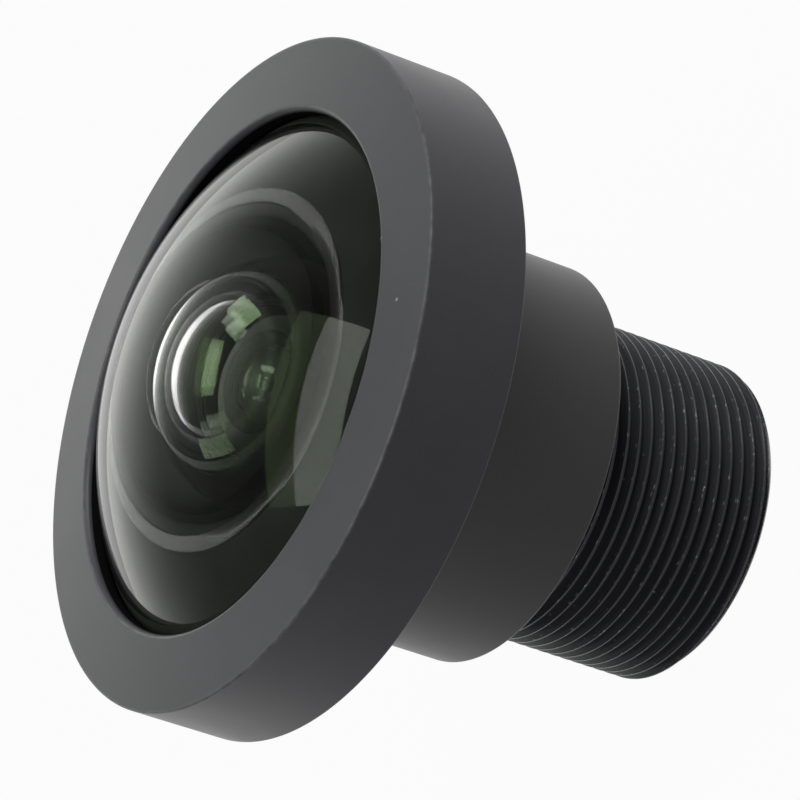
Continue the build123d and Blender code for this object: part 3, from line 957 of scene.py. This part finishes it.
class LENS_OT_rings(bpy.types.Operator):
    """Gives the rings, films, seals and washers inside their finishes"""

    bl_idname = "lens.rings"
    bl_label = "Rings inside"

    def execute(self, context):
        kinds = {
            "spacer_black": ["spacer_1", "spacer_2", "spacer_3", "spacer_4", "spacer_5", "spacer_6"],
            "film_black": ["light_shield_1", "light_shield_2", "light_shield_3"],
            "stop_black": ["aperture_stop"],
            "retainer_black": ["element_2_retainer", "rear_retainer"],
            "slip_black": ["front_gasket", "rear_washer"],
            "seal_black": ["front_o_ring"],
        }
        for name, nodes in kinds.items():
            for node in nodes:
                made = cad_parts[node]
                made.data.materials.clear()
                made.data.materials.append(finish(name))
        return {"FINISHED"}


class LENS_OT_stage(bpy.types.Operator):
    """Makes the floor, the lamps, the world and the camera"""

    bl_idname = "lens.stage"
    bl_label = "Stage"

    def execute(self, context):
        scene = context.scene
        make_floor(settings().looks)
        make_world(scene)
        plain, green = (1.0, 1.0, 1.0), (0.78, 1.0, 0.58)
        for name, place, aim, size, power, hue in (
            ("overhead", (0.055, -0.027, 0.36), (0.055, -0.027, 0.0), (0.09, 0.306), 0.55, plain),
            ("overhead_dim", (-0.02, -0.027, 0.36), (-0.02, -0.027, 0.0), (0.06, 0.306), 0.08, green),
            ("left_bank", (0.13, 0.34, 0.28), (0.0, 0.0, 0.015), (0.22, 0.17), 1.1, plain),
            ("right_bank", (0.06, -0.46, 0.14), (0.0, 0.0, 0.015), (0.24, 0.18), 0.44, plain),
        ):
            make_lamp(scene, name, place, aim, size, power, hue)
        make_camera(scene)
        scene.view_settings.view_transform = "Standard"
        scene.cycles.max_bounces = 20
        scene.cycles.transmission_bounces = 18
        scene.cycles.glossy_bounces = 10
        return {"FINISHED"}


def make_floor(looks):
    """Round floor: rings of points at equal angles, whose radius grows by a fixed factor."""
    sides, rings, drop = 96, 16, 0.01 * MM
    angle = np.linspace(0.0, FULL_TURN, sides, endpoint=False)
    reach = np.geomspace(0.02, 4.0, rings)[:, None]
    points = np.stack([reach * np.cos(angle), reach * np.sin(angle), 0 * reach + 0 * angle], -1)
    points = np.concatenate([points.reshape(-1, 3), [[0.0, 0.0, 0.0]]]) + [0.0, 0.0, -drop]
    inner, here = np.arange(rings - 1)[:, None] * sides, np.arange(sides)
    outer, step = inner + sides, (here + 1) % sides
    quads = np.stack([inner + here, outer + here, outer + step, inner + step], -1)
    fan = np.stack([np.full(sides, len(points) - 1), here, step], -1)
    mesh = bpy.data.meshes.new("floor")
    mesh.from_pydata(points.tolist(), [], quads.reshape(-1, 4).tolist() + fan.tolist())
    floor = bpy.data.objects.new("floor", mesh)
    bpy.context.scene.collection.objects.link(floor)
    made, tree, shader, place = new_finish("floor_white")
    grains = effect(tree, "blasted grain", Place=place, Grain_Size=0.4 * MM, Cloud_Size=60.0 * MM)
    skin = blended(tree, sums(tree, "MULTIPLY", grains["Cloud"], 0.04), opaque(looks.floor), WHITE)
    wire(tree, shader, Base_Color=skin, Roughness=0.8, Specular_IOR_Level=0.1)
    path = put(tree, "ShaderNodeLightPath").outputs
    through = sums(tree, "MAXIMUM", path["Is Glossy Ray"], path["Is Transmission Ray"])
    seen = sums(tree, "MAXIMUM", path["Is Camera Ray"], through)
    white = put(tree, "ShaderNodeEmission", None, {"Color": WHITE, "Strength": 1.0})
    share = sums(tree, "MULTIPLY", seen, 0.96)
    mix = put(tree, "ShaderNodeMixShader", None, {0: share, 1: shader.outputs[0], 2: white.outputs[0]})
    output = next(node for node in tree.nodes if node.type == "OUTPUT_MATERIAL")
    tree.links.new(mix.outputs[0], output.inputs["Surface"])
    mesh.materials.append(made)


def make_world(scene):
    """Grey studio room for reflections, which the camera sees as plain white.

    It is bright near the horizon on the far side, greyer overhead, and dark to the sides and behind the
    camera.
    """
    world = bpy.data.worlds.new("studio")
    world.use_nodes = True
    tree = world.node_tree
    tree.nodes.clear()
    path = put(tree, "ShaderNodeLightPath").outputs
    direction = put(tree, "ShaderNodeTexCoord").outputs["Generated"]
    way = put(tree, "ShaderNodeSeparateXYZ", None, {0: direction}).outputs
    up = sums(tree, "MULTIPLY_ADD", way[2], 2.0, -0.2, clamp=True)
    near = sums(tree, "MULTIPLY_ADD", way[0], 1.3, 0.6, clamp=True)
    aside = sums(tree, "ABSOLUTE", sums(tree, "SUBTRACT", way[1], 0.12))
    wall = sums(tree, "MULTIPLY_ADD", aside, 1.4, -0.34, clamp=True)
    room = blended(tree, up, (1.72, 1.74, 1.68, 1.0), (0.50, 0.52, 0.48, 1.0))
    room = blended(tree, sums(tree, "MAXIMUM", near, wall), room, (0.06, 0.06, 0.066, 1.0))
    seen = blended(tree, path["Is Camera Ray"], room, WHITE)
    light = put(tree, "ShaderNodeBackground", None, {"Color": seen, "Strength": 1.0})
    put(tree, "ShaderNodeOutputWorld", None, {"Surface": light.outputs[0]})
    scene.world = world


def make_lamp(scene, name, place, aim, size, power, hue):
    """Rectangular soft lamp that points at a place, with its width level; overhead, that is along X."""
    data = bpy.data.lights.new(name, "AREA")
    data.shape = "RECTANGLE"
    data.size, data.size_y = size
    data.energy, data.color = power, hue
    lamp = bpy.data.objects.new(name, data)
    back = (Vector(place) - Vector(aim)).normalized()
    across = Vector((0.0, 1.0, 0.0) if back.z > 0.9 else (0.0, 0.0, 1.0)).cross(back).normalized()
    turn = Matrix((across, back.cross(across), back)).transposed().to_4x4()
    lamp.matrix_world = Matrix.Translation(place) @ turn
    scene.collection.objects.link(lamp)


def make_camera(scene):
    """Camera at the photograph's angle, from its right, up and backward directions."""
    data = bpy.data.cameras.new("camera")
    data.sensor_width, data.lens = 36.0, 265.17
    data.clip_start, data.clip_end = 0.01, 20.0
    camera = bpy.data.objects.new("camera", data)
    right = Vector((0.49730909, 0.24783196, -0.83142227))
    up = Vector((0.0, 0.95833071, 0.28566108))
    turn = Matrix((right, up, right.cross(up))).transposed().to_4x4()
    camera.matrix_world = Matrix.Translation((0.1824226, -0.0288865, 0.1127928)) @ turn
    scene.collection.objects.link(camera)
    scene.camera = camera


# Panel and registration


class LensSettings(bpy.types.PropertyGroup):
    """Everything a user may change"""

    ring: PointerProperty(type=RingSizes, name="Front ring", description="Sizes of the front ring")
    barrel: PointerProperty(type=BarrelSizes, name="Barrel", description="Sizes of the barrel")
    bores: PointerProperty(type=BoreSizes, name="Bores", description="Sizes of the bores")
    glass: PointerProperty(type=GlassSizes, name="Glass", description="Faces of the glasses")
    looks: PointerProperty(type=Finishes, name="Finishes", description="Colours of the finishes")


OPERATORS = (
    LENS_OT_finishes,
    LENS_OT_front_ring,
    LENS_OT_barrel,
    LENS_OT_front_glass,
    LENS_OT_inner_glass,
    LENS_OT_filter,
    LENS_OT_rings,
    LENS_OT_stage,
)


class LENS_PT_panel(bpy.types.Panel):
    """Lists the operators and the sizes in the 3D view's sidebar"""

    bl_idname = "LENS_PT_panel"
    bl_label = "Fisheye lens"
    bl_space_type = "VIEW_3D"
    bl_region_type = "UI"
    bl_category = "Fisheye lens"

    def draw(self, context):
        for operator in OPERATORS:
            self.layout.operator(operator.bl_idname)
        for group in ("ring", "barrel", "bores", "glass", "looks"):
            box = self.layout.box()
            values = getattr(context.scene.fisheye_lens, group)
            for name in values.__annotations__:
                box.prop(values, name)


SETTINGS = (RingSizes, BarrelSizes, BoreSizes, GlassSizes, Finishes, LensSettings)
CLASSES = (*SETTINGS, *OPERATORS, LENS_PT_panel)


def register():
    """Registers the classes and the scene's settings."""
    for entry in CLASSES:
        bpy.utils.register_class(entry)
    bpy.types.Scene.fisheye_lens = PointerProperty(type=LensSettings)


def unregister():
    """Takes the classes and the settings away again."""
    del bpy.types.Scene.fisheye_lens
    for entry in reversed(CLASSES):
        bpy.utils.unregister_class(entry)


def main():
    register()
    for operator in OPERATORS:
        group, name = operator.bl_idname.split(".")
        getattr(getattr(bpy.ops, group), name)()


if __name__ == "__main__":
    main()
